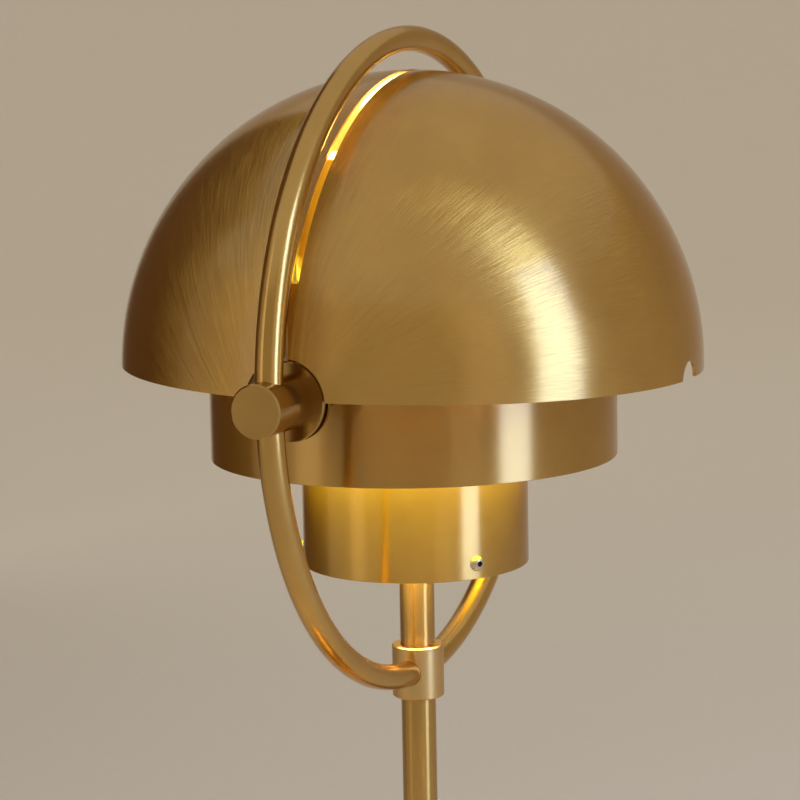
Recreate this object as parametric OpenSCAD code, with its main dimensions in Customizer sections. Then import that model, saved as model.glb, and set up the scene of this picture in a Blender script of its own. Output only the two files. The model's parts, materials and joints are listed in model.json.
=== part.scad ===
// Portable table lamp: two quarter-sphere shades turn about a level axis inside a fixed ring,
// round two open cylinders that hold the light. A round base carries battery, switch and weight.
// Z is up, the origin is at the middle of the foot, and the pivot axis of the shades runs along Y.

/* [Shades] */
// Outside radius of the two quarter-sphere shades
shade_r = 70; // [66:0.5:76]
// Thickness of the shades' brass sheet
shade_wall = 0.8; // [0.6:0.1:1.2]
// Height of the middle of the shades' sphere above the pivot axis
shade_up = 0.5; // [0:0.1:1]
// Height of the shades' rims above the pivot axis, before the shades lean
rim_up = 0.55; // [0.4:0.05:1.5]
// Distance of the right shade's upper edge from the pivot axis, before the shade leans
edge_right = 1.4; // [0.6:0.05:1.6]
// Distance of the left shade's upper edge from the pivot axis, before the shade leans
edge_left = 0.4; // [0.3:0.05:1.6]
// Lean of the right shade about its pivots, as it was set by hand, in degrees
lean_right = 1.4; // [1:0.1:2.5]
// Lean of the left shade about its pivots, as it was set by hand, in degrees
lean_left = 1.2; // [0:0.1:1.4]
// Room between the stem and the half-round notch in each shade's rim
notch_clear = 0.65; // [0.5:0.05:2]

/* [Pivots] */
// Height of the pivot axis above the table
pivot_h = 235; // [200:1:280]
// Diameter of the two knobs
knob_d = 12; // [10:0.5:15]
// Length of a knob
knob_len = 15; // [13:0.5:20]
// Bevel round a knob's outer face
knob_bevel = 0.4; // [0.2:0.1:1]
// Diameter of the cover disc and the clamp disc
disc_d = 18; // [16:0.5:22]
// Thickness of the cover disc and the clamp disc
disc_t = 1; // [0.8:0.1:1.5]
// Gap between the cover disc and the shades round it
disc_gap = 0.7; // [0.4:0.1:1.5]
// Depth of the cover discs below the shades' outside
disc_sink = 0.8; // [0:0.1:1]
// Thickness of the flat ears that carry the shades
ear_t = 0.6; // [0.5:0.1:0.8]
// Diameter of the round hub of an ear
ear_hub_d = 12; // [9:0.5:14]
// Play between ears and discs along the axis
ear_play = 0.1; // [0.05:0.01:0.15]
// Diameter of the axles
axle_d = 4; // [3:0.5:5]
// Diameter of the spring washers
spring_d = 10; // [8:0.5:14]
// Height of a spring washer under load
spring_h = 0.9; // [0.8:0.1:1.2]
// Thickness of a spring washer's steel
spring_t = 0.4; // [0.3:0.05:0.5]
// Diameter of the spacer tubes
spacer_d = 7.6; // [7.2:0.2:10]
// Width across flats of the axle nuts
axle_nut_af = 7; // [6.5:0.5:9]
// Height of the axle nuts
axle_nut_h = 3.2; // [2.4:0.2:5]

/* [Ring and stem] */
// Diameter of the ring's tube
ring_tube = 6.2; // [5:0.1:7]
// Wall of the ring's tube
ring_wall = 1; // [0.6:0.1:1.5]
// Air gap between the shades and the ring
ring_gap = 3.7; // [2.5:0.1:6]
// Height of the middle of ring and cylinders above the pivot axis
ring_up = 1; // [0:0.1:1.5]
// Outside diameter of the stem
stem_d = 8.5; // [8:0.1:10]
// Wall of the stem
stem_wall = 1.2; // [1:0.1:1.6]
// Outside diameter of the collar that joins ring and stem
collar_d = 12.7; // [12.2:0.1:16]
// Length of the collar
collar_len = 13; // [10:0.5:13.2]
// Bevel of the collar's two rims
collar_bevel = 0.3; // [0.1:0.1:0.6]
// Diameter of the grub screws
grub_d = 2.5; // [2:0.5:3]

/* [Cylinders] */
// Outside diameter of the large cylinder
large_d = 98.5; // [90:0.5:104]
// Height of the large cylinder
large_h = 46; // [30:1:60]
// Outside diameter of the small cylinder
small_d = 55; // [50:0.5:62]
// Height of the small cylinder
small_h = 99; // [90:1:106]
// Thickness of both cylinders' sheet
tube_wall = 0.8; // [0.6:0.1:1.2]
// Bevel of the cylinders' cut edges
sheet_bevel = 0.15; // [0.05:0.05:0.25]
// Direction of the first of the three cylinder screws, in degrees from +X
screw_turn = -34.7; // [-40:0.1:-20]
// Height of the cylinder screws above the small cylinder's lower edge
screw_up = 3.8; // [3.2:0.1:6]
// Thread diameter of the cylinder screws
screw_d = 2; // [2:0.1:2.5]
// Head diameter of the cylinder screws
screw_head_d = 3.8; // [3.5:0.1:4.5]
// Head height of the cylinder screws
screw_head_h = 1.3; // [1:0.1:1.6]

/* [Light] */
// Width of the bracket's three arms
arm_w = 5; // [4:0.5:8]
// Height of the bracket's three arms
arm_h = 4; // [3.6:0.2:5]
// Diameter of the bracket's hub
hub_d = 15; // [14:0.5:18]
// Height of the bracket's hub
hub_h = 11; // [9:0.5:14]
// Depth of the socket that takes the stem's top end
hub_socket = 8; // [6:0.5:8.5]
// Diameter of the heat sink and the diffuser on it
sink_d = 38; // [34:0.5:42]
// Height of the heat sink's fins
fin_h = 13; // [8:0.5:18]
// Number of fins
fin_count = 18; // [12:1:24]
// Thickness of a fin
fin_t = 1.1; // [0.8:0.1:1.6]
// Thickness of the heat sink's top plate
sink_plate_t = 2.4; // [2:0.2:4]
// Thickness of the LED board
led_board_t = 1.2; // [0.8:0.2:2]
// Number of LEDs round the board
led_count = 8; // [6:1:12]
// Wall of the opal diffuser
diffuser_wall = 1.5; // [1:0.1:2]
// Height of the diffuser's straight part
diffuser_h = 22; // [16:1:26]
// Diameter of the inner lead
lead_d = 2.8; // [2:0.1:3]

/* [Base] */
// Diameter of the base
base_d = 112; // [110:1:140]
// Height of the base above the table
base_h = 22; // [21:0.5:28]
// Wall of the base shell
base_wall = 1.5; // [1.2:0.1:2]
// Radius of the base's top edge
base_edge_r = 2.5; // [2.1:0.1:5]
// Thickness of the rubber foot ring
foot_t = 1.2; // [1:0.1:2]
// Width of the rubber foot ring
foot_w = 6; // [4:0.5:7]
// Thickness of the base plate
plate_t = 1.5; // [1.5:0.1:2]
// Thickness of the weight in the base
weight_t = 8; // [6:0.5:8.5]
// Diameter of the weight's four legs
leg_d = 8; // [7:0.5:9]
// Distance of the legs from the lamp's middle
leg_r = 44; // [43:0.5:46]
// Thread diameter of the base screws
base_screw_d = 3; // [2.5:0.5:3]
// Width across flats of the stem nut
stem_nut_af = 10; // [10:0.5:13]
// Height of the stem nut
stem_nut_h = 4.5; // [3.5:0.5:5]

/* [Electrics] */
// Width of the control board
board_w = 30; // [26:1:32]
// Thickness of the control board
board_t = 1.6; // [1.2:0.2:2]
// Height of the pillars under the control board
pillar_h = 1.2; // [1:0.1:1.6]
// Width of a battery cell
cell_w = 23; // [18:0.5:23.5]
// Length of a battery cell
cell_l = 48; // [40:1:50]
// Thickness of a battery cell
cell_t = 8; // [6:0.5:9]
// Distance of the button from the lamp's middle
button_r = 36; // [32:0.5:40]
// Diameter of the button
button_d = 11; // [8:0.5:13]
// Height of the button above the base
button_up = 1; // [0.9:0.1:2]
// Travel of the button
button_travel = 0.6; // [0.3:0.05:0.8]
// Wall of the bezel round the button
bezel_wall = 1.5; // [1:0.1:2.5]
// Width of the charging socket
socket_w = 8.9; // [8.9:0.1:9.2]
// Height of the charging socket
socket_h = 3.2; // [3.2:0.1:3.4]

/* [Hidden] */

$fn = 96;
FRONT = -1;
REAR = 1;
// Radial clearance between pieces that fit into each other
fit = 0.05;
// How far a cutting shape reaches past what it cuts
past = 1;
// Play of the loose clearance holes
loose = 0.2;

// Distances along the pivot axis from the lamp's middle, from the outside inwards
cover_out = sqrt(pow(shade_r, 2) - pow(disc_d / 2, 2)) - disc_sink;
cover_in = cover_out - disc_t;
ear_left_out = cover_in - ear_play;
ear_right_out = ear_left_out - ear_t - ear_play;
clamp_out = ear_right_out - ear_t - ear_play;
clamp_in = clamp_out - disc_t;
spring_in = clamp_in - spring_h;
large_seat_out = large_d / 2;
large_seat_in = sqrt(pow(large_d / 2 - tube_wall, 2) - pow(spacer_d / 2, 2));
small_seat_out = small_d / 2;
nut_corner_r = axle_nut_af / 2 / cos(30);
small_seat_in = sqrt(pow(small_d / 2 - tube_wall, 2) - pow(nut_corner_r, 2));
axle_in = small_seat_in - axle_nut_h - past / 2;

ring_r = shade_r + ring_gap + ring_tube / 2;
axle_out = ring_r - ring_tube / 2 - past / 2;
bore_d = axle_d + 2 * fit;
notch_r = stem_d / 2 + notch_clear;
ring_end_turn = asin((stem_d / 2 + 2 * loose) / ring_r);

// Lengths of the cylinder screws and of the base screws' threads
screw_l = 6;
base_thread_l = 6;
// Width across corners of a screw's hexagon recess, as a share of its head and of its thread
head_recess = 0.38;
thread_recess = 0.6;

// Heights above the table
middle_z = pivot_h + ring_up;
collar_mid_z = middle_z - ring_r;
small_low_z = middle_z - small_h / 2;
screw_z = small_low_z + screw_up;
arm_low_z = screw_z - arm_h / 2;
stem_top_z = arm_low_z + hub_socket;
hub_top_z = arm_low_z + hub_h;
fin_top_z = hub_top_z + fin_h;
sink_top_z = fin_top_z + sink_plate_t;
sink_step_h = sink_plate_t / 2;
led_top_z = sink_top_z + led_board_t;
led_board_r = sink_d / 2 - diffuser_wall - 1;
led_w = 3;
led_h = 0.7;

shell_low_z = foot_t / 2;
plate_top_z = foot_t + plate_t;
weight_top_z = base_h - base_wall;
weight_low_z = weight_top_z - weight_t;
base_in_r = base_d / 2 - base_wall;
foot_r = base_in_r - past;
board_low_z = plate_top_z + pillar_h;
board_top_z = board_low_z + board_t;
nipple_d = stem_d - 2 * stem_wall - 2 * fit;
nipple_bore = lead_d + 2 * loose;
// How far the nipple reaches up into the stem
nipple_in_stem = 12;
nipple_low_z = weight_low_z - stem_nut_h - past / 2;
nipple_top_z = base_h + nipple_in_stem;

bezel_d = button_d + 2 * loose + 2 * bezel_wall;
bezel_h = 6;
bezel_lip_t = 1;
button_cap_t = 3;
button_stem_d = 4;
button_foot_d = 6;
button_foot_t = 1;
button_bevel = 0.3;
button_foot_top_z = base_h - bezel_h - fit;
button_foot_low_z = button_foot_top_z - button_foot_t;
switch_w = 6;
switch_h = 3.5;
plunger_d = 3.4;
plunger_bore_h = 2;
plunger_low_z = board_top_z + switch_h - plunger_bore_h + button_travel + loose;

// The board ends in front of the switch, and at the rear close to the shell's wall
board_front_y = -button_r - switch_w;
board_rear_y = sqrt(pow(base_in_r, 2) - pow(board_w / 2, 2)) - loose;
pillar_d = 5;
pillar_x = board_w / 2 - pillar_d / 2;
pillar_front_y = board_front_y + pillar_d / 2;
pillar_rear_y = board_rear_y - 2 * pillar_d;
// Parts on the control board: X and Y of the middle, width, length, height
board_parts = [[-8, -18, 6, 6, 1], [7, -19, 5, 5, 2.5], [-7, 20, 7, 5, 1], [8, 22, 4, 8, 3]];
socket_l = 7.4;
socket_wall = 0.3;
// The contact tongue inside the charging socket
tongue_t = 0.7;
tongue_w = socket_w - 2.2;
socket_mid_z = board_top_z + socket_h / 2;
cell_corner_r = 2;
cell_x = board_w / 2 + cell_w / 2 + cell_corner_r;

// Puts children on the pivot axis, their Z outwards, at a distance from the lamp's middle
module on_axis(side, from) {
    translate([0, 0, pivot_h]) rotate([-90 * side, 0, 0]) translate([0, 0, from]) children();
}

module tube(outer_d, inner_d, h) {
    difference() {
        cylinder(d = outer_d, h = h);
        translate([0, 0, -past]) cylinder(d = inner_d, h = h + 2 * past);
    }
}

// A square with rounded corners, centred
module rounded_square(w, l, r) {
    square([w - 2 * r, l], center = true);
    square([w, l - 2 * r], center = true);
    for (x = [-1, 1], y = [-1, 1]) translate([x * (w / 2 - r), y * (l / 2 - r)]) circle(r = r);
}

// A bar with bevelled ends, used for the knobs and the collar
module bevelled_bar(d, h, low_bevel, top_bevel) {
    rotate_extrude() polygon([
        [0, 0], [d / 2 - low_bevel, 0], [d / 2, low_bevel],
        [d / 2, h - top_bevel], [d / 2 - top_bevel, h], [0, h]
    ]);
}

// The ring's centre line lies in the YZ plane and starts at the collar
module ring_sweep(from_turn) {
    translate([0, 0, middle_z]) rotate([0, 90, 0]) rotate([0, 0, from_turn])
        rotate_extrude(angle = 360 - 2 * from_turn) translate([ring_r, 0]) children();
}

// A flat ear: a quarter plate inside the shade with a round hub on the axle
module ear(side, out, edge_x) {
    difference() {
        union() {
            intersection() {
                translate([0, 0, shade_up]) sphere(r = shade_r - shade_wall / 2);
                translate([edge_x, side > 0 ? out - ear_t : -out, rim_up])
                    cube([shade_r, ear_t, shade_r + shade_up]);
            }
            rotate([-90 * side, 0, 0]) translate([0, 0, out - ear_t]) cylinder(d = ear_hub_d, h = ear_t);
        }
        rotate([-90 * side, 0, 0]) translate([0, 0, out - ear_t - past])
            cylinder(d = bore_d, h = ear_t + 2 * past);
    }
}

// A quarter of a spherical shell with its two ears, turned half round for the left one
module shade(turn, lean, edge_x, ear_out) {
    translate([0, 0, pivot_h]) rotate([0, lean, 0]) rotate([0, 0, turn]) {
        difference() {
            intersection() {
                translate([0, 0, shade_up]) difference() {
                    sphere(r = shade_r);
                    sphere(r = shade_r - shade_wall);
                }
                translate([edge_x, -shade_r - past, rim_up])
                    cube([shade_r + past, 2 * (shade_r + past), shade_r + shade_up + past]);
            }
            rotate([90, 0, 0]) cylinder(d = disc_d + 2 * disc_gap, h = 2 * (shade_r + past), center = true);
            rotate([0, 90, 0]) cylinder(r = notch_r, h = shade_r + past);
        }
        for (side = [FRONT, REAR]) ear(side, ear_out, edge_x);
    }
}

module shade_right() color("#b08d4a") shade(0, lean_right, edge_right, ear_right_out);

module shade_left() color("#b08d4a") shade(180, lean_left, edge_left, ear_left_out);

module ring() color("#b39457") ring_sweep(ring_end_turn) difference() {
    circle(d = ring_tube);
    circle(d = ring_tube - 2 * ring_wall);
}

module collar() color("#b39457") difference() {
    translate([0, 0, collar_mid_z - collar_len / 2])
        bevelled_bar(collar_d, collar_len, collar_bevel, collar_bevel);
    translate([0, 0, collar_mid_z - collar_len / 2 - past])
        cylinder(d = stem_d + 2 * fit, h = collar_len + 2 * past);
    ring_sweep(0) circle(d = ring_tube + 2 * fit);
    grub_hole(collar_mid_z, 180, collar_d);
}

module stem() color("#b39457") translate([0, 0, base_h])
    tube(stem_d, stem_d - 2 * stem_wall, stem_top_z - base_h);

module knob(side) {
    color("#b08d4a") difference() {
        on_axis(side, cover_out) bevelled_bar(knob_d, knob_len, 0, knob_bevel);
        on_axis(side, cover_out - past) cylinder(d = bore_d, h = axle_out - cover_out + past + fit);
        ring_sweep(0) circle(d = ring_tube + 2 * fit);
    }
}

module cover_disc(side) color("#a8843f") on_axis(side, cover_in) difference() {
    bevelled_bar(disc_d, disc_t, 0, disc_t / 4);
    translate([0, 0, -past]) cylinder(d = bore_d, h = disc_t + 2 * past);
}

module clamp_disc(side) color("#a8843f") on_axis(side, clamp_in) tube(disc_d, bore_d, disc_t);

// A disc spring, cut flat where it bears on the spacer and on the clamp disc
module spring_washer(side) {
    inner_r = bore_d / 2 + fit;
    outer_r = spring_d / 2;
    land = spring_t * 1.5;
    color("#9a9a98") on_axis(side, spring_in) rotate_extrude() polygon([
        [inner_r, 0], [inner_r + land, 0], [outer_r, spring_h - spring_t],
        [outer_r, spring_h], [outer_r - land, spring_h], [inner_r, spring_t]
    ]);
}

module axle(side) color("#8f8f8c") on_axis(side, axle_in) cylinder(d = axle_d, h = axle_out - axle_in);

module outer_spacer(side) color("#b39457") on_axis(side, large_seat_out)
    tube(spacer_d, bore_d, spring_in - large_seat_out);

module inner_spacer(side) color("#b39457") on_axis(side, small_seat_out)
    tube(spacer_d, bore_d, large_seat_in - small_seat_out);

module axle_nuts() color("#8f8f8c") for (side = [FRONT, REAR])
    on_axis(side, small_seat_in - axle_nut_h) difference() {
        cylinder(r = nut_corner_r, h = axle_nut_h, $fn = 6);
        translate([0, 0, -past]) cylinder(d = bore_d, h = axle_nut_h + 2 * past);
    }

module open_cylinder(outer_d, h) difference() {
    in_r = outer_d / 2 - tube_wall;
    out_r = outer_d / 2;
    b = sheet_bevel;
    translate([0, 0, middle_z - h / 2]) rotate_extrude() polygon([
        [in_r + b, 0], [out_r - b, 0], [out_r, b], [out_r, h - b],
        [out_r - b, h], [in_r + b, h], [in_r, h - b], [in_r, b]
    ]);
    for (side = [FRONT, REAR]) on_axis(side, 0) cylinder(d = bore_d, h = outer_d);
}

module large_cylinder() color("#b08d4a") open_cylinder(large_d, large_h);

// Puts children on the three screw axes, their Z outwards from the lamp's middle
module on_screws(from) for (i = [0:2]) rotate([0, 0, screw_turn + 120 * i])
    translate([from, 0, screw_z]) rotate([0, 90, 0]) children();

module small_cylinder() color("#b08d4a") difference() {
    open_cylinder(small_d, small_h);
    on_screws(small_d / 2 - tube_wall - past) cylinder(d = screw_d + 2 * fit, h = tube_wall + 2 * past);
}

module cylinder_screws() color("#c9c6bd") on_screws(small_d / 2) {
    crown_r = (pow(screw_head_d / 2, 2) + pow(screw_head_h, 2)) / (2 * screw_head_h);
    difference() {
        intersection() {
            cylinder(d = screw_head_d, h = screw_head_h);
            translate([0, 0, screw_head_h - crown_r]) sphere(r = crown_r);
        }
        translate([0, 0, screw_head_h / 2])
            cylinder(d = screw_head_d * head_recess, h = screw_head_h, $fn = 6);
    }
    translate([0, 0, -screw_l]) cylinder(d = screw_d, h = screw_l);
}

// A radial hole for a grub screw through one wall of a round piece
module grub_hole(z, turn, outer_d) translate([0, 0, z]) rotate([0, 0, turn]) rotate([0, 90, 0])
    cylinder(d = grub_d + 2 * fit, h = outer_d / 2 + past);

module grub(z, turn, outer_d) translate([0, 0, z]) rotate([0, 0, turn])
    translate([stem_d / 2 + fit, 0, 0]) rotate([0, 90, 0]) difference() {
        len = (outer_d - stem_d) / 2 - fit - loose;
        cylinder(d = grub_d, h = len);
        translate([0, 0, len - grub_d / 3]) cylinder(d = grub_d / 2, h = grub_d, $fn = 6);
    }

// The hub's grub screw sits between two arms
bracket_grub_turn = screw_turn + 60;
bracket_grub_z = arm_low_z + arm_h / 2;

module lamp_bracket() color("#8f8f8c") difference() {
    union() {
        translate([0, 0, arm_low_z]) cylinder(d = hub_d, h = hub_h);
        intersection() {
            for (i = [0:2]) rotate([0, 0, screw_turn + 120 * i])
                translate([0, -arm_w / 2, arm_low_z]) cube([small_d, arm_w, arm_h]);
            translate([0, 0, arm_low_z]) cylinder(d = small_d - 2 * tube_wall - 2 * fit, h = arm_h);
        }
    }
    translate([0, 0, arm_low_z - past]) cylinder(d = stem_d + 2 * fit, h = hub_socket + past);
    translate([0, 0, arm_low_z]) cylinder(d = nipple_bore, h = hub_h + past);
    on_screws(small_d / 2 - tube_wall - screw_l) cylinder(d = screw_d + 2 * fit, h = screw_l + past);
    grub_hole(bracket_grub_z, bracket_grub_turn, hub_d);
}

module grub_screws() color("#6f6f6c") {
    grub(collar_mid_z, 180, collar_d);
    grub(bracket_grub_z, bracket_grub_turn, hub_d);
}

module heat_sink() color("#b9bbbd") difference() {
    union() {
        translate([0, 0, hub_top_z]) linear_extrude(fin_h) {
            circle(d = hub_d);
            for (i = [0:fin_count - 1]) rotate([0, 0, i * 360 / fin_count])
                translate([0, -fin_t / 2]) square([sink_d / 2 - past, fin_t]);
        }
        translate([0, 0, fin_top_z]) cylinder(d = sink_d, h = sink_step_h);
        translate([0, 0, fin_top_z]) cylinder(d = sink_d - 2 * diffuser_wall - 2 * fit, h = sink_plate_t);
    }
    translate([0, 0, hub_top_z - past]) cylinder(d = nipple_bore, h = fin_h + sink_plate_t + 2 * past);
}

module led_board() color("#e9e7df") {
    translate([0, 0, sink_top_z]) cylinder(r = led_board_r, h = led_board_t);
    for (i = [0:led_count - 1]) rotate([0, 0, i * 360 / led_count])
        translate([led_board_r - led_w, 0, led_top_z]) cube([led_w, led_w, 2 * led_h], center = true);
}

// An opal cap: a straight skirt on the heat sink's rim with a half-round top
module diffuser() color("#fff3d6") translate([0, 0, fin_top_z + sink_step_h]) difference() {
    outer_r = sink_d / 2;
    inner_r = outer_r - diffuser_wall;
    rotate_extrude() difference() {
        intersection() {
            union() {
                square([outer_r, diffuser_h]);
                translate([0, diffuser_h]) circle(r = outer_r);
            }
            square([outer_r, diffuser_h + outer_r]);
        }
        translate([0, -past]) square([inner_r, diffuser_h + past]);
        translate([0, diffuser_h]) circle(r = inner_r);
    }
}

module lamp_lead() color("#2a2a2a") translate([0, 0, board_top_z])
    cylinder(d = lead_d, h = sink_top_z - board_top_z);

module base_outline(r, h, edge_r) {
    square([r - edge_r, h]);
    square([r, h - edge_r]);
    translate([r - edge_r, h - edge_r]) circle(r = edge_r);
}

module base_shell() color("#b08d4a") difference() {
    translate([0, 0, shell_low_z]) rotate_extrude() difference() {
        base_outline(base_d / 2, base_h - shell_low_z, base_edge_r);
        translate([0, -past]) base_outline(base_in_r, base_h - shell_low_z - base_wall + past,
            base_edge_r - base_wall);
    }
    translate([0, 0, weight_top_z - past]) cylinder(d = nipple_d + 2 * fit, h = base_wall + 2 * past);
    translate([0, -button_r, weight_top_z - past]) cylinder(d = bezel_d + 2 * fit, h = base_wall + 2 * past);
    translate([0, base_d / 2 + past, socket_mid_z]) rotate([90, 0, 0]) linear_extrude(base_wall + 3 * past)
        rounded_square(socket_w + 2 * loose, socket_h + 2 * loose, socket_h / 2 + loose - fit);
}

module on_legs() for (i = [0:3]) rotate([0, 0, 45 + 90 * i]) translate([leg_r, 0, 0]) children();

module base_weight() color("#4a4c50") difference() {
    union() {
        translate([0, 0, weight_low_z])
            bevelled_bar(2 * (base_in_r - loose), weight_t, 0, base_edge_r - base_wall + loose);
        on_legs() translate([0, 0, plate_top_z]) cylinder(d = leg_d, h = weight_low_z - plate_top_z + past);
    }
    translate([0, 0, weight_low_z - past]) cylinder(d = nipple_d + 2 * fit, h = weight_t + 2 * past);
    translate([0, -button_r, weight_low_z - past]) cylinder(d = bezel_d + 2 * fit, h = weight_t + 2 * past);
    on_legs() translate([0, 0, plate_top_z - past])
        cylinder(d = base_screw_d + 2 * fit, h = base_thread_l + 3 * past);
}

module base_plate() color("#3c3c3e") difference() {
    union() {
        translate([0, 0, foot_t]) cylinder(r = base_in_r - loose, h = plate_t);
        for (x = [-pillar_x, pillar_x], y = [pillar_front_y, pillar_rear_y])
            translate([x, y, plate_top_z]) cylinder(d = pillar_d, h = pillar_h);
    }
    on_legs() base_screw_form(fit, past);
}

// A countersunk screw, or the hole for one when it is made larger
module base_screw_form(grow, reach) {
    head_h = plate_t;
    translate([0, 0, foot_t]) cylinder(d1 = base_screw_d + 2 * head_h + 2 * grow,
        d2 = base_screw_d + 2 * grow, h = head_h);
    translate([0, 0, foot_t - reach])
        cylinder(d = base_screw_d + 2 * grow, h = plate_t + base_thread_l + 2 * reach);
}

module base_screws() color("#77777a") on_legs() difference() {
    base_screw_form(0, 0);
    translate([0, 0, foot_t - past]) cylinder(d = base_screw_d * thread_recess, h = past + plate_t, $fn = 6);
}

module foot_ring() color("#1d1d1e") tube(2 * foot_r, 2 * (foot_r - foot_w), foot_t);

module stem_nipple() color("#8f8f8c") translate([0, 0, nipple_low_z])
    tube(nipple_d, nipple_bore, nipple_top_z - nipple_low_z);

module stem_nut() color("#8f8f8c") translate([0, 0, weight_low_z - stem_nut_h]) difference() {
    cylinder(r = stem_nut_af / 2 / cos(30), h = stem_nut_h, $fn = 6);
    translate([0, 0, -past]) cylinder(d = nipple_d + 2 * fit, h = stem_nut_h + 2 * past);
}

module battery(side) color("#3f6f8f") translate([side * cell_x, 0, plate_top_z])
    linear_extrude(cell_t) rounded_square(cell_w, cell_l, cell_corner_r);

module control_board() color("#1f5a3a") {
    translate([-board_w / 2, board_front_y, board_low_z])
        cube([board_w, board_rear_y - board_front_y, board_t]);
    for (part = board_parts) translate([part[0] - part[2] / 2, part[1] - part[3] / 2, board_top_z])
        cube([part[2], part[3], part[4]]);
}

module charge_socket() color("#a9abae") translate([0, base_d / 2 - loose, socket_mid_z])
    rotate([90, 0, 0]) {
        linear_extrude(socket_l) difference() {
            rounded_square(socket_w, socket_h, socket_h / 2 - fit);
            rounded_square(socket_w - 2 * socket_wall, socket_h - 2 * socket_wall,
                socket_h / 2 - socket_wall - fit);
        }
        translate([0, 0, socket_l - past]) linear_extrude(past) rounded_square(socket_w, socket_h,
            socket_h / 2 - fit);
        translate([0, 0, past]) linear_extrude(socket_l - past) square([tongue_w, tongue_t], center = true);
    }

module switch_body() color("#2b2b2d") translate([0, -button_r, board_top_z]) difference() {
    linear_extrude(switch_h) square(switch_w, center = true);
    translate([0, 0, switch_h - plunger_bore_h])
        cylinder(d = plunger_d + 2 * loose, h = plunger_bore_h + past);
}

module switch_plunger() color("#d8d4c8") translate([0, -button_r, plunger_low_z])
    cylinder(d = plunger_d, h = button_foot_low_z - plunger_low_z);

module button() color("#b08d4a") translate([0, -button_r, 0]) {
    translate([0, 0, base_h - button_cap_t])
        bevelled_bar(button_d, button_cap_t + button_up, 0, button_bevel);
    translate([0, 0, button_foot_low_z]) cylinder(d = button_foot_d, h = button_foot_t);
    translate([0, 0, button_foot_low_z])
        cylinder(d = button_stem_d, h = base_h - button_cap_t - button_foot_low_z);
}

module button_bezel() color("#2b2b2d") translate([0, -button_r, base_h - bezel_h]) difference() {
    cylinder(d = bezel_d, h = bezel_h);
    translate([0, 0, bezel_lip_t]) cylinder(d = button_d + 2 * loose, h = bezel_h);
    translate([0, 0, -past]) cylinder(d = button_stem_d + 2 * loose, h = bezel_h);
}

shade_right();
shade_left();
ring();
collar();
stem();
knob(FRONT);  // knob_front
knob(REAR);  // knob_rear
cover_disc(FRONT);  // cover_disc_front
cover_disc(REAR);  // cover_disc_rear
clamp_disc(FRONT);  // clamp_disc_front
clamp_disc(REAR);  // clamp_disc_rear
spring_washer(FRONT);  // spring_washer_front
spring_washer(REAR);  // spring_washer_rear
axle(FRONT);  // axle_front
axle(REAR);  // axle_rear
outer_spacer(FRONT);  // outer_spacer_front
outer_spacer(REAR);  // outer_spacer_rear
inner_spacer(FRONT);  // inner_spacer_front
inner_spacer(REAR);  // inner_spacer_rear
axle_nuts();
large_cylinder();
small_cylinder();
cylinder_screws();
lamp_bracket();
grub_screws();
heat_sink();
led_board();
diffuser();
lamp_lead();
base_shell();
base_weight();
base_plate();
base_screws();
foot_ring();
stem_nipple();
stem_nut();
battery(-1);  // battery_left
battery(1);  // battery_right
control_board();
charge_socket();
switch_body();
switch_plunger();
button();
button_bezel();
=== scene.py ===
# %% [markdown]
# # A portable brass table lamp
#
# The lamp has a dome of two quarter-sphere shades that turn inside a fixed ring, two open
# cylinders below it, a slim stem and a round base. Every piece of it was drawn in a CAD program
# and arrives here finished in shape, so nothing of the lamp is modelled in this notebook. It
# gives each piece its surface, and it sets up the camera, the light and the studio.
#
# All lengths are in metres. Z is up, the origin is on the table under the middle of the foot,
# and the shades turn about an axis that runs along Y.

import json
import math

import bpy
from mathutils import Matrix, Vector


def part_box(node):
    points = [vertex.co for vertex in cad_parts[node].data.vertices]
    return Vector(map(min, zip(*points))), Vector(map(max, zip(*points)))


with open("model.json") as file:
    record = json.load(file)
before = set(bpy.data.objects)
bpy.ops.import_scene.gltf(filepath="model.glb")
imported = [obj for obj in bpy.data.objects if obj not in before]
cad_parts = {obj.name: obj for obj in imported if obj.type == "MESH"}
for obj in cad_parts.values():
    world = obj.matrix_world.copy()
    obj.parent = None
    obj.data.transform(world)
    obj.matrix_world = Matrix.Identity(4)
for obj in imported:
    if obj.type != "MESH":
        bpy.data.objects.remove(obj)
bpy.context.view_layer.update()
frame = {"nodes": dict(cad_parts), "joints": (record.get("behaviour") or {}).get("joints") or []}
nodes = frame["nodes"]

bpy.context.scene.view_settings.view_transform = "Standard"
bpy.ops.object.select_all(action="DESELECT")

# %% [markdown]
# ## Measures that the finishes need
#
# A brushed surface has its lines in a real place, so each finish has to know where the piece is
# that it lies on. The measures could be typed in here, but then they would be wrong as soon as
# the CAD changes. So the pivot axis is read from a joint, and radii are read from the boxes of
# the pieces. The shades' sphere has its middle a little above the pivot.

# %% The pivot and the shades' sphere
PIVOT = Vector(next(j for j in frame["joints"] if j["name"] == "shade_right_pivot")["pos_m"])
SHADE_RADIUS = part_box("shade_right")[1].y
SHADE_MIDDLE = Vector((0, 0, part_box("shade_right")[1].z - SHADE_RADIUS))
print("pivot height:", round(PIVOT.z, 4), " shade radius:", round(SHADE_RADIUS, 4))

# %% [markdown]
# ## The camera
#
# The picture was taken with a long lens, a little above the rim of the shades and from the
# front right. A camera could be moved by hand until the view looks alike, but then an error in
# the camera hides as an error in a shape. So this one was worked out from the edges of ring,
# dome and cylinders: where it stands, how far away it is, and how much it leans. The base stays
# below the picture's edge, as in the photo.

# %% The camera's place and axes
PICTURE = 800  # pixels, across and down
SENSOR = 36.0  # millimetres
AZIMUTH, ELEVATION, ROLL = (math.radians(v) for v in (24.164, 8.218, -1.049))
DISTANCE = 0.63147
FOCAL_PIXELS = 2611.3
PIVOT_PIXEL = (412.79, 363.11)

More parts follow.
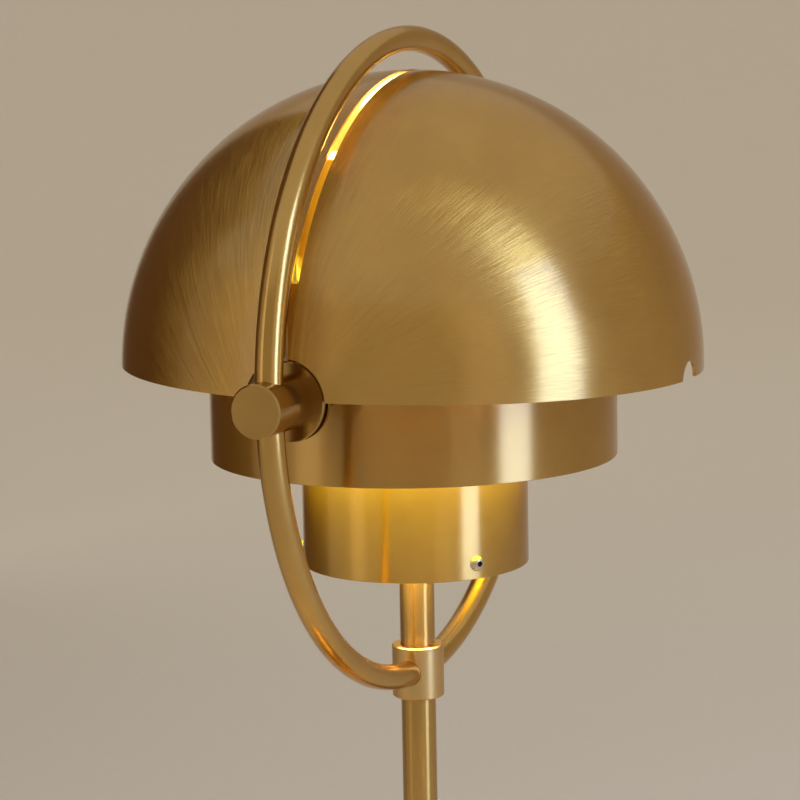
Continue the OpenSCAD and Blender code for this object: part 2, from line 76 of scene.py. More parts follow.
ahead = Vector((
    -math.sin(AZIMUTH) * math.cos(ELEVATION),
    math.cos(AZIMUTH) * math.cos(ELEVATION),
    -math.sin(ELEVATION),
))
level_right = Vector((math.cos(AZIMUTH), math.sin(AZIMUTH), 0))
level_up = level_right.cross(ahead)
right = level_right * math.cos(ROLL) + level_up * math.sin(ROLL)
up = -level_right * math.sin(ROLL) + level_up * math.cos(ROLL)

# The pivot isn't in the middle of the picture, so the eye moves aside and up by what is missing.
aside = (PIVOT_PIXEL[0] - PICTURE / 2) / FOCAL_PIXELS
above = (PICTURE / 2 - PIVOT_PIXEL[1]) / FOCAL_PIXELS
eye = PIVOT - DISTANCE * (ahead + aside * right + above * up)

# %% The camera itself
bpy.ops.object.camera_add(location=eye)
camera = bpy.context.object
camera.name = "camera"
camera.matrix_world = Matrix.Translation(eye) @ Matrix((right, up, -ahead)).transposed().to_4x4()
camera.data.sensor_width = SENSOR
camera.data.lens = FOCAL_PIXELS / PICTURE * SENSOR
camera.data.clip_start = 0.01
bpy.context.scene.camera = camera
print("camera at", [round(v, 3) for v in eye], "lens", round(camera.data.lens, 1), "mm")

# %% [markdown]
# ## A small language for surfaces
#
# A material is a network of nodes. Drawn by hand it is easy to read when it is small, but these
# metals need a lot of arithmetic: distances from an axis, angles round it, stretched noise. So
# a Signal stands for one output of a node, and sums and products of Signals add Math nodes.

# %% Signal
class Signal:
    """One output in a material's network, which can be used in arithmetic."""

    def __init__(self, finish, socket):
        self.finish, self.socket = finish, socket

    def math(self, operation, *values):
        """Adds a Math node that takes this signal and then the values."""
        return self.finish.node("ShaderNodeMath", {"operation": operation}, [self, *values])

    def __add__(self, other):
        return self.math("ADD", other)

    def __sub__(self, other):
        return self.math("SUBTRACT", other)

    def __rsub__(self, other):
        return self.math("MULTIPLY", -1.0).math("ADD", other)

    def __mul__(self, other):
        return self.math("MULTIPLY", other)

    def __truediv__(self, other):
        return self.math("DIVIDE", other)

    def __pow__(self, other):
        return self.math("POWER", other)

    __radd__, __rmul__ = __add__, __mul__

    def step(self, low, high):
        """0 below low, 1 above high, and a smooth rise between them."""
        settings = {"interpolation_type": "SMOOTHSTEP"}
        return self.finish.node("ShaderNodeMapRange", settings, {0: self, 1: low, 2: high})


# %% [markdown]
# A Finish is one material. Its node method adds any node, and the other methods are short names
# for what these metals need again and again. Patterns read Object coordinates, which are the
# real place of a point on a piece in metres, so nothing has to be unwrapped and nothing is
# stretched.

# %% Finish
class Finish:
    """A material on a Principled shader, built up by adding nodes."""

    def __init__(self, name):
        self.material = bpy.data.materials.new(name)
        self.material.use_nodes = True
        self.tree = self.material.node_tree
        self.shader = self.tree.nodes["Principled BSDF"]

    def node(self, kind, settings=None, inputs=(), output=0):
        """Adds a node, with its settings and with the values or links of its sockets."""
        made = self.tree.nodes.new(kind)
        for name, value in (settings or {}).items():
            setattr(made, name, value)
        for key, value in (inputs.items() if isinstance(inputs, dict) else enumerate(inputs)):
            self.feed(made.inputs[key], value)
        return Signal(self, made.outputs[output])

    def feed(self, socket, value):
        """Links a signal to a socket, or sets the socket to a plain value."""
        if isinstance(value, Signal):
            self.tree.links.new(value.socket, socket)
        else:
            socket.default_value = value

    def surface(self, **values):
        """Sets sockets of the shader, such as Base_Color or Roughness."""
        for name, value in values.items():
            self.feed(self.shader.inputs[name.replace("_", " ")], value)

    def vector(self, x, y, z):
        """A vector from three numbers or signals."""
        return self.node("ShaderNodeCombineXYZ", inputs=[x, y, z])

    def vector_math(self, operation, *values):
        """Arithmetic with vectors, which Math nodes can't do."""
        return self.node("ShaderNodeVectorMath", {"operation": operation}, values)

    def arm(self, centre):
        """The vector from a centre to a point on the piece."""
        point = self.node("ShaderNodeTexCoord", output="Object")
        return self.vector_math("SUBTRACT", point, tuple(centre))

    def place(self, centre=(0, 0, 0)):
        """X, Y and Z of a point on the piece, in metres from the centre."""
        split = self.node("ShaderNodeSeparateXYZ", inputs=[self.arm(centre)])
        return tuple(Signal(self, socket) for socket in split.socket.node.outputs)

    def noise(self, vector, scale=1.0, detail=2.0, roughness=0.5):
        """A cloudy pattern from 0 to 1, about one cloud for each unit of the vector."""
        values = {"Vector": vector, "Scale": scale, "Detail": detail, "Roughness": roughness}
        return self.node("ShaderNodeTexNoise", inputs=values, output="Fac")

    def blend(self, factor, low, high):
        """A colour between two colours."""
        settings = {"data_type": "RGBA"}
        return self.node("ShaderNodeMix", settings, {0: factor, 6: low, 7: high}, output=2)

    def bump(self, height, depth, normal=None):
        """Turns a height from 0 to 1 into a normal, with depth as the relief in metres."""
        values = {"Height": height, "Distance": depth}
        if normal:
            values["Normal"] = normal
        self.surface(Normal=self.node("ShaderNodeBump", inputs=values, output="Normal"))

    def on(self, *names):
        """Puts this finish on CAD nodes."""
        for name in names:
            nodes[name].data.materials.clear()
            nodes[name].data.materials.append(self.material)
        print(self.material.name, "->", ", ".join(names))


# %% [markdown]
# ## Brass
#
# All the brass on the lamp is the same metal under the same clear lacquer. What differs is how
# it was brushed, so one function makes the metal and takes the brush lines as an input.
#
# A brush line is a tiny groove. Its two flanks lean to both sides of the line, so they spread
# each reflection across the lines and leave it sharp along them. That is what makes brushed
# metal look silky. The grooves are finer than a pixel, and a bump map can't show such lines, so
# the surface's normal is leaned directly: across the lines, by a noise that is long along them.
# A broader part of the same noise is coarse enough to be seen as single strokes.

# %% Directions and the leaning normal
def way_round(finish, axis, centre):
    """The direction in which a point on the piece moves when the piece turns on an axis."""
    sideways = finish.vector_math("CROSS_PRODUCT", axis, finish.arm(centre))
    return finish.vector_math("NORMALIZE", sideways)


def leaning_normal(finish, direction, slope):
    """The surface's normal, leaning in a direction by a slope."""
    normal = finish.node("ShaderNodeTexCoord", output="Normal")
    lean = finish.vector_math("MULTIPLY", direction, finish.vector(slope, slope, slope))
    settings = {"vector_type": "NORMAL", "convert_from": "OBJECT", "convert_to": "WORLD"}
    leaned = finish.vector_math("ADD", normal, lean)
    return finish.node("ShaderNodeVectorTransform", settings, [leaned])


# %% [markdown]
# The colour of brass is the colour of what it mirrors, times its own. It drifts a little from
# place to place as the lacquer ages, so two tones are mixed by broad soft clouds, and some
# strokes catch a lighter one. Seen at a slant, metal mirrors more and more like a plain mirror,
# and the edge tint holds that back. On the hollow side the sheets were left matt and unpolished,
# so that side is mixed towards a pale skin that scatters the lamp's light like paint.

# %% Colours and measures of the brass
BRASS = (0.560, 0.335, 0.078, 1.0)
BRASS_DEEP = (0.500, 0.290, 0.062, 1.0)
BRASS_LIGHT = (0.640, 0.405, 0.120, 1.0)
# Painted shade darkens a piece towards this brass.
BRASS_PAINTED_SHADE = (0.280, 0.160, 0.036, 1.0)
# A painted highlight lightens a piece towards this brass.
BRASS_PAINTED_HIGHLIGHT = (0.860, 0.640, 0.340, 1.0)
EDGE_TINT = (0.66, 0.46, 0.25, 1.0)
LACQUER = {"Coat_Weight": 0.85, "Coat_Roughness": 0.16}

BRASS_INSIDE = (0.800, 0.690, 0.420, 1.0)
MATT_INSIDE = 0.45  # roughness
METAL_INSIDE = 0.45  # the part that still mirrors as metal

CLOUDS = {"scale": 38.0, "detail": 3.0, "roughness": 0.6}
CLOUD_EDGES = (0.3, 0.7)  # the noise values at which one tone ends and the other begins
CLOUD_RELIEF = 0.00002
STROKE_EDGES = (0.5, 0.9)
STROKE_LIGHT = 0.06  # how much of the lighter tone a stroke shows
STROKE_SLOPE = 0.009
UNEVEN = 0.03  # how much clouds and strokes each add to the roughness


# %% The metal
def brass(name, lines, spread, gloss, painted_shade=0.0, pale=0.0, centre=(0, 0, 0), inside=None, **more):
    """One of the lamp's brass finishes.

    lines(finish) gives the fine and the broad brush lines, each from 0 to 1, and the direction
    across them. spread is how far the fine lines lean the surface, and gloss is its roughness.
    The next two numbers paint in shade and a highlight: how much darker, and how much paler, the
    colour is made than on the shades. more is for the shader's other sockets.

    inside(x, y, z) is 1 on the hollow side of a sheet, which was left matt, and 0 outside.
    """
    finish = Finish(name)
    fine, broad, across = lines(finish)
    x, y, z = finish.place(centre)
    clouds = finish.noise(finish.vector(x, y, z), **CLOUDS)
    tone = finish.blend(clouds.step(*CLOUD_EDGES), BRASS_DEEP, BRASS)
    tone = finish.blend(broad.step(*STROKE_EDGES) * STROKE_LIGHT, tone, BRASS_LIGHT)
    # Painted shade: the colour is darkened towards a dark brass.
    tone = finish.blend(painted_shade, tone, BRASS_PAINTED_SHADE)
    # Painted highlight: the colour is made paler towards a pale brass.
    tone = finish.blend(pale, tone, BRASS_PAINTED_HIGHLIGHT)
    skin = gloss + clouds * UNEVEN + broad * UNEVEN
    metal = 1.0
    if inside:
        hollow = inside(x, y, z)
        tone = finish.blend(hollow, tone, BRASS_INSIDE)
        skin = skin + hollow * (MATT_INSIDE - gloss)
        metal = 1 - hollow * (1 - METAL_INSIDE)
    finish.surface(
        Base_Color=tone, Metallic=metal, Roughness=skin, Specular_Tint=EDGE_TINT, **LACQUER, **more
    )
    slope = (fine - 0.5) * spread + (broad - 0.5) * STROKE_SLOPE
    finish.bump(clouds, CLOUD_RELIEF, leaning_normal(finish, across, slope))
    return finish


# %% [markdown]
# ### The shades
#
# The shades were brushed from one pivot to the other, so their lines run like the lines of
# longitude on a globe whose poles are the two pivots. On the left shade the lines leave the
# pivot more steeply, as if the globe's axis lay lower. A line of longitude has one angle about
# the axis, so the angle makes the pattern fine across the lines, and the place along the axis
# makes it slow along them. The direction across the lines is the one in which the shade moves
# when it turns.
#
# Blender's noise is worked out on a grid of cells one unit wide. The pattern is thousands of
# cells wide but fewer than twenty cells long, so the rows of that grid would show as bands
# square to the lines. Each cell is therefore shifted along the lines by a part of a cell more
# than the last one, which breaks the rows up.

# %% Lines from pivot to pivot
FINE_LINE = 0.000014  # the width of a fine line
BROAD_LINE = 0.0002
STROKE_LENGTH = 0.008
STAGGER = 0.37  # the shift from cell to cell, in cells
OTHER_STROKES = 5.0  # another slice of the same noise, so that broad and fine lines differ
WANDER = {"scale": 60.0, "detail": 1.0}  # broad strokes wander slowly from their line
WANDER_REACH = 0.004
LEFT_FAN_DROP = 0.022


def shade_lines(drop):
    """Brush lines on a shade, with the fan's axis drop metres below the pivots."""
    centre = PIVOT - Vector((0, 0, drop))

    def lines(finish):
        x, y, z = finish.place(centre)
        turn = z.math("ARCTAN2", x) * SHADE_RADIUS
        wander = finish.noise(finish.vector(x, y, z), **WANDER) * WANDER_REACH
        fine_place, broad_place = turn / FINE_LINE, (turn + wander) / BROAD_LINE
        along = y / STROKE_LENGTH
        fine = finish.noise(
            finish.vector(fine_place, along + fine_place * STAGGER, 0.0), detail=0.0
        )
        broad = finish.noise(
            finish.vector(broad_place, along + broad_place * STAGGER, OTHER_STROKES), detail=2.0
        )
        return fine, broad, way_round(finish, (0, 1, 0), centre)

    return lines


# %% [markdown]
# A shade is a sheet 0.8 mm thick, and its two sides are parts of two spheres. So the distance
# of a point from the middle of the sphere tells which side it is on. The finish changes halfway
# through the sheet, where only the narrow cut edge shows it.

# %% The hollow side, and both shades
SHEET_INNER, SHEET_OUTER = 0.0006, 0.0002  # depths between which the finish changes


def hollow_side(reach, radius):
    """1 on the hollow side of a sheet of this outer radius, 0 on its outer side."""
    return 1 - reach.step(radius - SHEET_INNER, radius - SHEET_OUTER)


def inside_shade(x, y, z):
    """1 on the hollow side of a shade's sheet."""
    return hollow_side((x * x + y * y + z * z) ** 0.5, SHADE_RADIUS)


for side, drop in (("right", 0.0), ("left", LEFT_FAN_DROP)):
    brass(
        "brushed_shade_" + side, shade_lines(drop), spread=1.9, gloss=0.17,
        centre=SHADE_MIDDLE, inside=inside_shade,
    ).on("shade_" + side)

# %% [markdown]
# ### Turned and rolled pieces
#
# Knobs, discs, collar and base were finished while they turned in a lathe, and the cylinders
# were brushed round and round. Their lines are circles about an axis: fine outwards and along
# the axis, slow round it. The direction across such a line lies in the surface, square to the
# way round. The ring's lines are circles too, about the X axis, because its tube was polished
# along its length.

# %% Lines round an axis
AXES = {"X": (1, 0, 0), "Y": (0, 1, 0), "Z": (0, 0, 1)}


def lathe_lines(axis, centre, turns):
    """Brush lines round an axis X, Y or Z. turns is how many streaks fit round the piece."""

    def lines(finish):
        along, side, other = rolled(finish.place(centre), axis)
        reach = (side * side + other * other) ** 0.5
        turn = other.math("ARCTAN2", side) * (turns / math.tau)
        turn = turn + (reach + along) * (STAGGER / FINE_LINE)
        fine = finish.noise(finish.vector(reach / FINE_LINE, along / FINE_LINE, turn), detail=0.0)
        broad = finish.noise(
            finish.vector(reach / BROAD_LINE, along / BROAD_LINE, turn), detail=2.0
        )
        normal = finish.node("ShaderNodeTexCoord", output="Normal")
        across = finish.vector_math(
            "CROSS_PRODUCT", normal, way_round(finish, AXES[axis], centre)
        )
        return fine, broad, across

    return lines


def rolled(place, axis):
    """The three coordinates, with the one along the axis first."""
    first = "XYZ".index(axis)
    return place[first:] + place[:first]


# %% [markdown]
# The two cylinders are rolled from sheet and are matt inside as the shades are. Lines that run
# round a cylinder draw each reflection out into an upright streak. Here the leaning normal does
# a part of that and the shader's own anisotropy does the rest: a quarter of a turn points it
# along the cylinder, across the lines.

# %% The cylinders
SPREAD_UPRIGHT = {"Anisotropic": 1.0, "Anisotropic_Rotation": 0.25}


def inside_cylinder(radius):
    """A function that is 1 on the hollow side of a cylinder of the given outer radius."""

    def inside(x, y, z):
        return hollow_side((x * x + y * y) ** 0.5, radius)

    return inside


for size in ("large", "small"):
    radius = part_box(size + "_cylinder")[1].x
    brass(
        "brushed_cylinder_" + size, lathe_lines("Z", PIVOT, turns=26), spread=0.25, gloss=0.31,
        centre=PIVOT, inside=inside_cylinder(radius), **SPREAD_UPRIGHT,
    ).on(size + "_cylinder")

# %% [markdown]
# The ring is polished tube. The pieces on the pivots are small, stand close together and mirror
# each other and the shades' edges. Their colour is darkened as painted shade, so they look darker
# and duller than the rest. The collar's colour is made paler as a painted highlight. On top of
# the base the lines are circles round the stem, and the button has finer ones round its own
# middle.

# %% Ring, pivots, collar, base and button
brass(
    "polished_ring", lathe_lines("X", PIVOT, turns=60), spread=0.3, gloss=0.19, centre=PIVOT
).on("ring")
# The pieces on the pivots get painted shade: their colour is darkened well towards dark brass.
brass(
    "turned_on_pivots", lathe_lines("Y", PIVOT, turns=1), spread=0.2, gloss=0.22, painted_shade=0.6,
    centre=PIVOT,
).on(
    "knob_front", "knob_rear", "cover_disc_front", "cover_disc_rear", "clamp_disc_front",
    "clamp_disc_rear", "outer_spacer_front", "outer_spacer_rear", "inner_spacer_front",
    "inner_spacer_rear",
)
# The collar gets a painted highlight: its colour is made paler all over.
brass(
    "turned_collar", lathe_lines("Z", (0, 0, 0), turns=14), spread=0.2, gloss=0.27, pale=0.25
).on("collar")
brass(
    "brushed_base", lathe_lines("Z", (0, 0, 0), turns=40), spread=0.25, gloss=0.31,
    **SPREAD_UPRIGHT,
).on("base_shell")

button_low, button_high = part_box("button")
button_centre = (button_low + button_high) / 2
brass("turned_button", lathe_lines("Z", button_centre, turns=12), spread=0.25, gloss=0.2).on(
    "button"
)

# %% [markdown]
# ### The stem
#
# The stem was drawn through a die, so its lines run up and down, and each is long. They lean the
# surface only a little. Its reflections are spread upright as well, which draws the light of the
# head out into a streak down the stem.

# %% Lines along the stem
STEM_STROKE = 0.02


def stem_lines(finish):
    """Brush lines up and down the stem."""
    x, y, z = finish.place()
    along = z / STEM_STROKE
    fine = finish.noise(finish.vector(x / FINE_LINE, y / FINE_LINE, along), detail=0.0)
    broad = finish.noise(finish.vector(x / BROAD_LINE, y / BROAD_LINE, along), detail=2.0)
    return fine, broad, way_round(finish, (0, 0, 1), (0, 0, 0))


# The stem gets a little painted shade: its colour is darkened slightly.
brass("drawn_stem", stem_lines, spread=0.1, gloss=0.22, painted_shade=0.15, **SPREAD_UPRIGHT).on("stem")

# %% [markdown]
# ## Other metals
#
# Axles, nuts, springs and small screws are zinc plated steel with a faint grain. Bracket and
# weight are castings with a rough skin, and the heat sink is matt anodised aluminium. A picture
# of each metal would do, but it would repeat and have seams. Two noises need neither: a fine
# one for the grain and a broad one for slow changes of tone.

# %% A metal with a grain
CLOUD_GRAINS = 12  # a cloud is as wide as so many grains
GRAIN_GLOSS = 0.12  # how much the grain adds to the roughness
# The nearly black colour of the shade painted into recesses.
PAINTED_RECESS_SHADE = (0.02, 0.016, 0.012, 1)


def grained_metal(name, dark, light, gloss, grain, relief, metallic=1.0, shadow=None):
    """A plain metal whose tone, gloss and skin vary with a noise of the given grain size.

    shadow(x, y, z) is 1 where shade is painted in by darkening the colour, such as in a recess,
    and 0 elsewhere.
    """
    finish = Finish(name)
    x, y, z = finish.place()
    here = finish.vector(x, y, z)
    skin = finish.noise(here, scale=1 / grain, detail=3.0, roughness=0.6)
    clouds = finish.noise(here, scale=1 / (CLOUD_GRAINS * grain), detail=2.0)
    tone = finish.blend(clouds.step(*CLOUD_EDGES), dark, light)
    if shadow:
        # Painted shade: where the mask is 1 the colour goes nearly black.
        tone = finish.blend(shadow(x, y, z), tone, PAINTED_RECESS_SHADE)
    finish.surface(Base_Color=tone, Metallic=metallic, Roughness=gloss + skin * GRAIN_GLOSS)
    finish.bump(skin, relief)
    return finish


# %% Steel, castings and aluminium
grained_metal(
    "plated_steel", dark=(0.42, 0.41, 0.38, 1), light=(0.58, 0.57, 0.53, 1),
    gloss=0.22, grain=0.0004, relief=0.00001,
).on(
    "axle_front", "axle_rear", "axle_nuts", "spring_washer_front", "spring_washer_rear",
    "grub_screws", "base_screws", "stem_nipple", "stem_nut", "charge_socket",
)
grained_metal(
    "cast_zinc", dark=(0.36, 0.36, 0.35, 1), light=(0.5, 0.5, 0.49, 1),
    gloss=0.42, grain=0.0006, relief=0.00004,
).on("lamp_bracket")
grained_metal(
    "cast_iron", dark=(0.05, 0.05, 0.055, 1), light=(0.11, 0.11, 0.115, 1),
    gloss=0.6, grain=0.0009, relief=0.0001, metallic=0.8,
).on("base_weight")
grained_metal(
    "anodised_aluminium", dark=(0.6, 0.61, 0.62, 1), light=(0.74, 0.75, 0.76, 1),
    gloss=0.36, grain=0.0003, relief=0.00001,
).on("heat_sink")

# %% [markdown]
# The three screws that hold the small cylinder are nickel plated, brighter than steel. Each has
# a small recess for its key, which lies in shade and looks nearly black. The recess is a real one
# in the mesh, but its floor would still mirror the studio. So shade is painted in there: the
# colour is darkened to nearly black, by the distance of a point from the nearest screw's axis.
# The three axes stand a third of a turn apart, so the fractional part of the turn, counted in
# thirds, finds the nearest one.

# %% The cylinder's screws
screws_low, screws_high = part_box("cylinder_screws")
SCREW_HEIGHT = (screws_low.z + screws_high.z) / 2
SCREW_TURN = math.radians(-34.7)  # the first screw's direction, from X towards Y
THIRD = math.tau / 3
HALFWAY = (0.4999, 0.5001)  # past the middle of a third, the next screw is nearer
RECESS = 0.00072
RECESS_EDGE = 0.85  # the dark ends between this share of the radius and the whole


def in_recess(x, y, z):
    """1 near the axes of the three screws, which stand a third of a turn apart."""
    turn = y.math("ARCTAN2", x) - (SCREW_TURN - 2 * math.tau)
    thirds = (turn / THIRD).math("FRACT")
    sideways = (thirds - thirds.step(*HALFWAY)) * THIRD * (x * x + y * y) ** 0.5
    upwards = z - SCREW_HEIGHT
    reach = (sideways * sideways + upwards * upwards) ** 0.5
    return 1 - reach.step(RECESS * RECESS_EDGE, RECESS)


# Painted shade in the screws' key recesses.
grained_metal(
    "nickel_plate", dark=(0.60, 0.52, 0.40, 1), light=(0.74, 0.65, 0.51, 1),
    gloss=0.32, grain=0.0004, relief=0.000004, shadow=in_recess,
).on("cylinder_screws")

# %% [markdown]
# ## Plastics, rubber and the electric parts
#
# Most of these are hidden in the base or in the small cylinder, but the lamp is a real assembly,
# so each has its own skin. They are made like the grained metals, only not metallic: a fine
# grain on moulded rubber and plastic, a coarser one on the powder coat of the base plate.

# %% Moulded and painted skins
def moulded(name, dark, light, gloss, grain, relief):
    """A non-metal with a fine moulded or painted grain."""
    return grained_metal(name, dark, light, gloss, grain, relief, metallic=0.0)


moulded(
    "foot_rubber", dark=(0.012, 0.012, 0.013, 1), light=(0.03, 0.03, 0.032, 1),
    gloss=0.7, grain=0.0005, relief=0.00006,
).on("foot_ring")
moulded(
    "powder_coat", dark=(0.018, 0.018, 0.019, 1), light=(0.04, 0.04, 0.042, 1),
    gloss=0.45, grain=0.0007, relief=0.00004,
).on("base_plate")
moulded(
    "black_plastic", dark=(0.015, 0.015, 0.017, 1), light=(0.03, 0.03, 0.034, 1),
    gloss=0.35, grain=0.0003, relief=0.00002,
).on("button_bezel", "switch_body")
moulded(
    "lead_sheath", dark=(0.012, 0.012, 0.012, 1), light=(0.03, 0.03, 0.03, 1),
    gloss=0.5, grain=0.0004, relief=0.00002,
).on("lamp_lead")
moulded(
    "nylon", dark=(0.62, 0.6, 0.53, 1), light=(0.72, 0.7, 0.63, 1),
    gloss=0.4, grain=0.0004, relief=0.00001,
).on("switch_plunger")

# %% [markdown]
# The battery cells are shrunk into a glossy film with soft creases. The control board is covered
# with green solder mask, and the board that carries the LEDs with white, which throws more of
# their light upwards.

# %% Batteries and boards
moulded(
    "battery_film", dark=(0.05, 0.15, 0.24, 1), light=(0.08, 0.22, 0.33, 1),
    gloss=0.16, grain=0.003, relief=0.00008,
).on("battery_left", "battery_right")
moulded(
    "solder_mask", dark=(0.012, 0.10, 0.04, 1), light=(0.025, 0.16, 0.07, 1),
    gloss=0.25, grain=0.0012, relief=0.00002,
).on("control_board")
moulded(
    "white_board", dark=(0.76, 0.74, 0.68, 1), light=(0.84, 0.82, 0.77, 1),
    gloss=0.4, grain=0.0009, relief=0.00001,
).on("led_board")

# %% [markdown]
# ## The light
#
# The opal cap glows evenly, a little whiter at its top where it is nearest to the LEDs' beam.
# Lamps hidden under it would have to shine through it, which takes many samples to look smooth,
# so the cap itself gives off the light. It lights the inside of the small cylinder. From there
# the light rises into the dome, falls back between the cylinders, and leaves below them.

# %% Opal cap
GLOW = 170.0
GLOW_FOOT, GLOW_TOP = (1.0, 0.88, 0.62, 1), (1.0, 0.90, 0.66, 1)

opal = Finish("lit_opal")
x, y, z = opal.place(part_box("diffuser")[0])
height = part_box("diffuser")[1].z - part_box("diffuser")[0].z
opal_clouds = opal.noise(opal.vector(x, y, z), scale=90.0, detail=2.0)
opal.surface(
    Base_Color=(0.86, 0.82, 0.74, 1),
    Roughness=0.38 + opal_clouds * 0.1,
    Emission_Color=opal.blend((z / height).step(0.0, 1.0), GLOW_FOOT, GLOW_TOP),
    Emission_Strength=GLOW,
)
opal.on("diffuser")

# %% [markdown]
# Brass passes light on from wall to wall many times, and each time it takes out some blue. A
# picture stops counting such steps early. So three round lamps that the camera can't see stand
# for that light: it comes up and down between the cylinders, and down out of the small one.

# %% A flat lamp
def flat_lamp(name, shape, area, brightness, colour):
    """A lamp that the camera can't see. Brightness is how light it looks, where 1 is white."""
    bpy.ops.object.light_add(type="AREA")
    lamp = bpy.context.object
    lamp.name = name
    lamp.data.shape = shape
    lamp.data.energy = brightness * math.pi * area
    lamp.data.color = colour
    lamp.visible_camera = False
    print(name, round(lamp.data.energy, 3), "W")
    return lamp


# %% Light that the walls pass on
AMBER = (1.0, 0.90, 0.05)
STRAW = (1.0, 0.86, 0.42)
CLEAR_OF_WALL = 0.001  # a little more than the thickness of the sheet
WELL_INSIDE = 0.003
AT_THE_MOUTH = 0.0005


def amber_lamp(name, height, radius, brightness, colour=AMBER, upwards=False):
    """A round lamp on the stem's axis, which shines down or up."""
    lamp = flat_lamp(name, "DISK", math.pi * radius * radius, brightness, colour)
    lamp.data.size = 2 * radius
    lamp.location.z = height
    lamp.rotation_euler.x = math.pi if upwards else 0.0


large_low, large_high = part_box("large_cylinder")
small_low, small_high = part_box("small_cylinder")
amber_lamp(
    "amber_between_up", height=large_high.z - WELL_INSIDE, radius=large_high.x - CLEAR_OF_WALL,
    brightness=3.0, upwards=True,
)
amber_lamp(
    "amber_between_down", height=large_low.z + AT_THE_MOUTH, radius=large_high.x - WELL_INSIDE,
    brightness=4.8,
)
amber_lamp(
    "amber_below", height=small_low.z + AT_THE_MOUTH, radius=small_high.x - CLEAR_OF_WALL,
    brightness=6.0, colour=STRAW,
)

# %% [markdown]
# ## The studio
#
# Polished metal is mostly a picture of the room it stands in, so the room matters as much as
# the metal. A plain plane with a wall behind it would be quick, but the metal would mirror the
# line where they meet. So the floor is a pale paper sweep that curves up to a low wall all
# round. It starts as a flat disc, and its rim is extruded step by step along a quarter circle.

# %% Paper sweep
SWEEP_SIDES = 96
SWEEP_FLAT, SWEEP_CURVE, SWEEP_WALL = 2.4, 1.2, 1.0
CURVE_STEPS = 10

bpy.ops.mesh.primitive_circle_add(vertices=SWEEP_SIDES, radius=SWEEP_FLAT, fill_type="NGON")
sweep = bpy.context.object
sweep.name = "paper_sweep"
bpy.ops.object.mode_set(mode="EDIT")
bpy.ops.mesh.select_all(action="SELECT")
bpy.ops.mesh.region_to_loop()
radius, lift = SWEEP_FLAT, 0.0
for i in range(1, CURVE_STEPS + 2):
    turn = math.radians(90) * min(i, CURVE_STEPS) / CURVE_STEPS
    wanted_radius = SWEEP_FLAT + SWEEP_CURVE * math.sin(turn)
    wanted_lift = SWEEP_CURVE * (1 - math.cos(turn)) + (SWEEP_WALL if i > CURVE_STEPS else 0)
    bpy.ops.mesh.extrude_edges_move(TRANSFORM_OT_translate={"value": (0, 0, wanted_lift - lift)})
    grow = wanted_radius / radius
    bpy.ops.transform.resize(value=(grow, grow, 1), center_override=(0, 0, wanted_lift))
    radius, lift = wanted_radius, wanted_lift
bpy.ops.mesh.select_all(action="SELECT")
bpy.ops.mesh.normals_make_consistent(inside=True)
bpy.ops.object.mode_set(mode="OBJECT")
bpy.ops.object.shade_smooth()
print("sweep:", len(sweep.data.polygons), "faces, wall at", round(radius, 2), "m")

# %% Pale paper
paper = Finish("pale_paper")
grain = paper.noise(paper.vector(*paper.place()), scale=300.0, detail=3.0)
paper.surface(
    Base_Color=paper.blend(grain, (0.78, 0.71, 0.60, 1), (0.82, 0.75, 0.64, 1)),
    Roughness=0.85,
)
paper.bump(grain, depth=0.0001)
sweep.data.materials.append(paper.material)
print("paper on", sweep.name)

# %% [markdown]
# ### Soft boxes
#
# A soft box is a lamp behind a large white sheet, and metal mirrors it as a bright shape with a
# clean outline. A tall one stands on the right and makes the highlights on dome and cylinders.
# Brass takes the blue out of what it mirrors, so a white box would leave them yellow. This box
# is bluish, and its highlight comes out nearly white. Two weaker boxes stand in front.

# %% Where things stand round the lamp
def direction(azimuth):
    """A level direction from the lamp. Azimuth 0 is in front of it, 90 on its right."""
    a = math.radians(azimuth)
    return Vector((math.sin(a), -math.cos(a), 0))


def stand_upright(thing, azimuth, distance, low, high):
    """Stands an upright rectangle round the lamp, facing it, between two heights."""
    thing.location = direction(azimuth) * distance + Vector((0, 0, (low + high) / 2))
    thing.rotation_mode = "QUATERNION"
    thing.rotation_quaternion = direction(azimuth).to_track_quat("Z", "Y")
    thing.visible_camera = False
    print(thing.name, "at", [round(v, 2) for v in thing.location])


# %% Soft boxes
SOFT_BOX_WIDTH = 0.28
BLUISH = (0.36, 0.53, 1.0)
WARM_WHITE = (1.0, 0.96, 0.90)


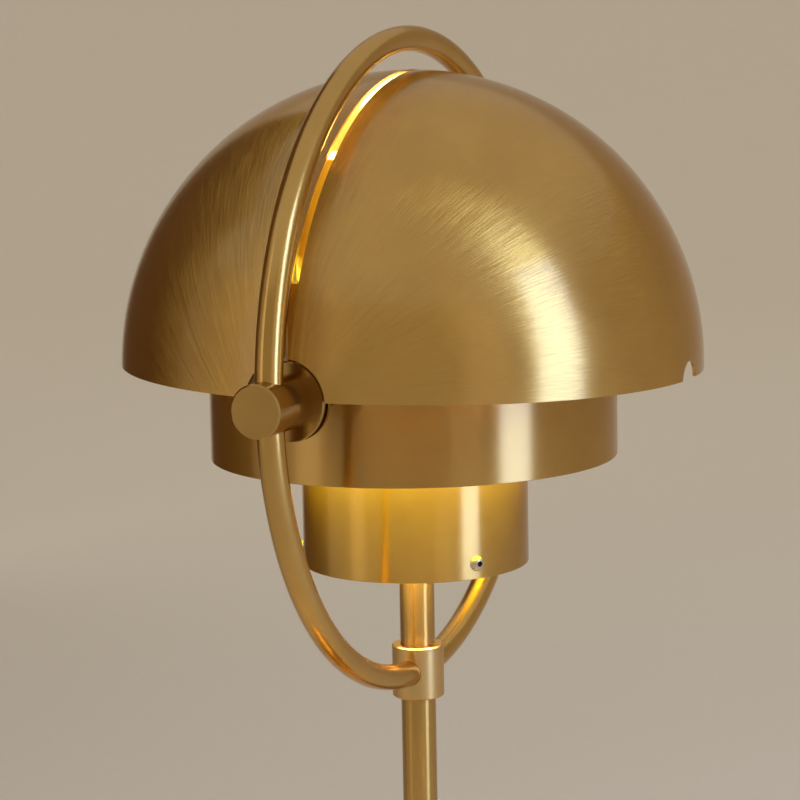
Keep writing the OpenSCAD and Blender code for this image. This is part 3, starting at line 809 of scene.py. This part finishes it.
def soft_box(name, azimuth, distance, low, high, brightness, colour):
    """A tall rectangular lamp that faces the brass one."""
    width, height = SOFT_BOX_WIDTH, high - low
    lamp = flat_lamp(name, "RECTANGLE", width * height, brightness, colour)
    lamp.data.size, lamp.data.size_y = width, height
    stand_upright(lamp, azimuth, distance, low, high)


soft_box(
    "soft_box_right", azimuth=80, distance=0.85, low=0.02, high=0.85, brightness=7.2,
    colour=BLUISH,
)
soft_box(
    "soft_box_front_left", azimuth=-36, distance=1.0, low=0.05, high=1.0, brightness=0.7,
    colour=WARM_WHITE,
)
soft_box(
    "soft_box_front_right", azimuth=52, distance=0.95, low=0.02, high=0.85, brightness=0.25,
    colour=WARM_WHITE,
)

# %% [markdown]
# ### Brown card
#
# With pale paper all round, the brass would have no dark side, and a curve without one looks
# flat. Photographers stand a dark card beside shiny things, just outside the picture. This one
# is brown, so that the dark side keeps the warmth of the metal. The camera doesn't see it, and
# it throws no shadow, so the paper stays evenly lit.

# %% The card
CARD_WIDTH, CARD_HEIGHT = 0.9, 1.15

bpy.ops.mesh.primitive_plane_add(size=1.0)
card = bpy.context.object
card.name = "brown_card"
card.scale = (CARD_WIDTH, CARD_HEIGHT, 1.0)
stand_upright(card, azimuth=-104, distance=0.8, low=0.0, high=CARD_HEIGHT)
card.visible_shadow = False

felt = Finish("brown_felt")
fibres = felt.noise(felt.vector(*felt.place()), scale=800.0)
felt.surface(
    Base_Color=felt.blend(fibres, (0.21, 0.12, 0.05, 1), (0.25, 0.15, 0.06, 1)),
    Roughness=0.9,
)
card.data.materials.append(felt.material)

# %% [markdown]
# ### The room
#
# The rest of the light comes evenly from the room. It is weak and slightly warm, so that the
# lamp's own light still shows, and it keeps the shadows on the floor soft.

# %% Light from above
ROOM = 0.62
ROOM_COLOUR = (1.0, 0.94, 0.84, 1)

world = bpy.data.worlds.new("room")
bpy.context.scene.world = world
world.use_nodes = True
background = world.node_tree.nodes["Background"]
background.inputs["Color"].default_value = ROOM_COLOUR
background.inputs["Strength"].default_value = ROOM
print("light from above", ROOM)
